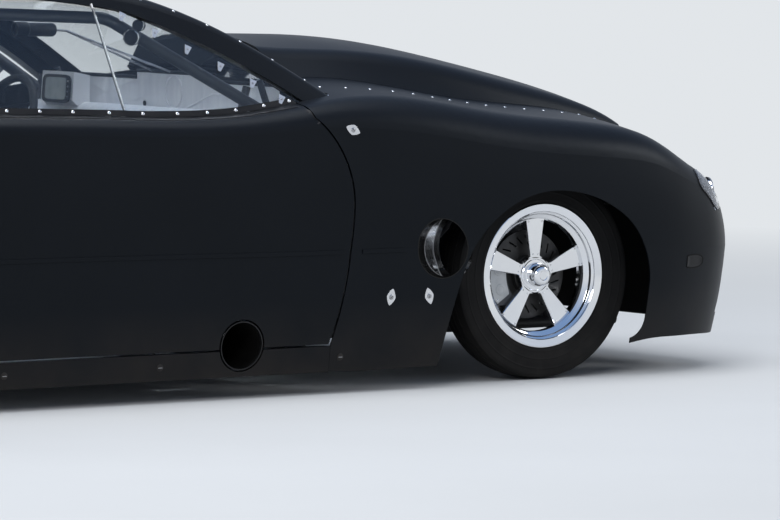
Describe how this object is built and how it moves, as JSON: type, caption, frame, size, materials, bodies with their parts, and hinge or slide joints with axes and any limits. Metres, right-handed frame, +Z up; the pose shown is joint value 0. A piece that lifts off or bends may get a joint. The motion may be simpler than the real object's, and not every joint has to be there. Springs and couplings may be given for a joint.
{
  "type": "drag racing car",
  "caption": "Coupe body for the drag strip over a tube frame, with opening doors, steered front wheels, wide rear tyres, tail wing and wheelie bar.",
  "frame": {"origin": "on the ground below the middle of the overall length and width", "axes": "+X to the nose, +Y to the car's left, +Z up"},
  "size_m": [5.451, 1.857, 1.332],
  "materials": {
    "body_paint": "matte",
    "black_trim": "matte",
    "lamp_clear": "gloss",
    "lamp_red": "gloss",
    "window_glass": "gloss",
    "wing_black": "satin",
    "sheet_metal": "satin",
    "tube_paint": "satin",
    "engine_block": "cast",
    "machined": "machined",
    "axle_paint": "satin",
    "steel": "brushed",
    "polished_tube": "polished",
    "pack_fabric": "woven",
    "wheel_polish": "polished",
    "tyre_rubber": "matte",
    "disc_iron": "machined",
    "grip": "matte",
    "small_rubber": "matte"
  },
  "bodies": {
    "chassis": {"front_clip": "body_paint", "hood_scoop": "body_paint", "main_shell": "body_paint", "rear_bumper": "body_paint", "deck_lid": "body_paint", "grille": "black_trim", "rockers": "black_trim", "display": "black_trim", "headlamps": "lamp_clear", "tail_lamps": "lamp_red", "windshield": "window_glass", "rear_window": "window_glass", "quarter_windows": "window_glass", "rear_wing": "wing_black", "floor_pan": "sheet_metal", "firewall": "sheet_metal", "driveline_tunnel": "sheet_metal", "wheel_tubs": "sheet_metal", "dash_panel": "sheet_metal", "seat": "sheet_metal", "frame": "tube_paint", "front_struts": "tube_paint", "main_hoop": "tube_paint", "cage_sides": "tube_paint", "cage_rear": "tube_paint", "cage_front": "tube_paint", "wheelie_bar": "tube_paint", "engine": "engine_block", "gearbox": "machined", "drive_shaft": "machined", "steering_rack": "machined", "parachute_mount": "machined", "rear_dampers": "machined", "rear_axle": "axle_paint", "rear_links": "steel", "steering_column": "steel", "fender_exhausts": "polished_tube", "side_exhausts": "polished_tube", "parachute_pack": "pack_fabric"},
    "door_right_body": {"door_right": "body_paint", "door_window_right": "window_glass"},
    "door_left_body": {"door_left": "body_paint", "door_window_left": "window_glass"},
    "knuckle_right_body": {"knuckle_right": "tube_paint"},
    "knuckle_left_body": {"knuckle_left": "tube_paint"},
    "wheel_front_right": {"front_rim_right": "wheel_polish", "front_tyre_right": "tyre_rubber", "brake_disc_right": "disc_iron"},
    "wheel_front_left": {"front_rim_left": "wheel_polish", "front_tyre_left": "tyre_rubber", "brake_disc_left": "disc_iron"},
    "wheel_rear_right": {"rear_rim_right": "wheel_polish", "rear_tyre_right": "tyre_rubber"},
    "wheel_rear_left": {"rear_rim_left": "wheel_polish", "rear_tyre_left": "tyre_rubber"},
    "steering_wheel_body": {"steering_wheel": "grip"},
    "wheelie_wheels_body": {"wheelie_wheels": "small_rubber"}
  },
  "joints": [
    {"name": "steer_right", "type": "hinge", "parent": "chassis", "child": "knuckle_right_body", "pos_m": [1.8355, -0.6, 0.333], "axis": [0, 0, 1], "range_deg": [-16, 16]},
    {"name": "steer_left", "type": "hinge", "parent": "chassis", "child": "knuckle_left_body", "pos_m": [1.8355, 0.6, 0.333], "axis": [0, 0, 1], "range_deg": [-16, 16]},
    {"name": "roll_front_right", "type": "hinge", "parent": "knuckle_right_body", "child": "wheel_front_right", "pos_m": [1.8355, -0.742, 0.333], "axis": [0, 1, 0], "continuous": true},
    {"name": "roll_front_left", "type": "hinge", "parent": "knuckle_left_body", "child": "wheel_front_left", "pos_m": [1.8355, 0.742, 0.333], "axis": [0, 1, 0], "continuous": true},
    {"name": "roll_rear_right", "type": "hinge", "parent": "chassis", "child": "wheel_rear_right", "pos_m": [-0.9525, -0.71, 0.375], "axis": [0, 1, 0], "continuous": true},
    {"name": "roll_rear_left", "type": "hinge", "parent": "chassis", "child": "wheel_rear_left", "pos_m": [-0.9525, 0.71, 0.375], "axis": [0, 1, 0], "continuous": true},
    {"name": "steering_wheel_turn", "type": "hinge", "parent": "chassis", "child": "steering_wheel_body", "pos_m": [0.5355, 0.4, 0.8], "axis": [-0.9272, 0, 0.3746], "range_deg": [-145, 145]},
    {"name": "door_right_hinge", "type": "hinge", "parent": "chassis", "child": "door_right_body", "pos_m": [0.8875, -0.898, 0.49], "axis": [0, 0, 1], "range_deg": [0, 65]},
    {"name": "door_left_hinge", "type": "hinge", "parent": "chassis", "child": "door_left_body", "pos_m": [0.8875, 0.898, 0.49], "axis": [0, 0, 1], "range_deg": [-65, 0]},
    {"name": "wheelie_roll", "type": "hinge", "parent": "chassis", "child": "wheelie_wheels_body", "pos_m": [-2.6705, 0, 0.11], "axis": [0, 1, 0], "continuous": true}
  ],
  "couplings": [
    {"joint": "steer_left", "follows": "steer_right", "ratio": 1},
    {"joint": "steering_wheel_turn", "follows": "steer_right", "ratio": 9}
  ]
}
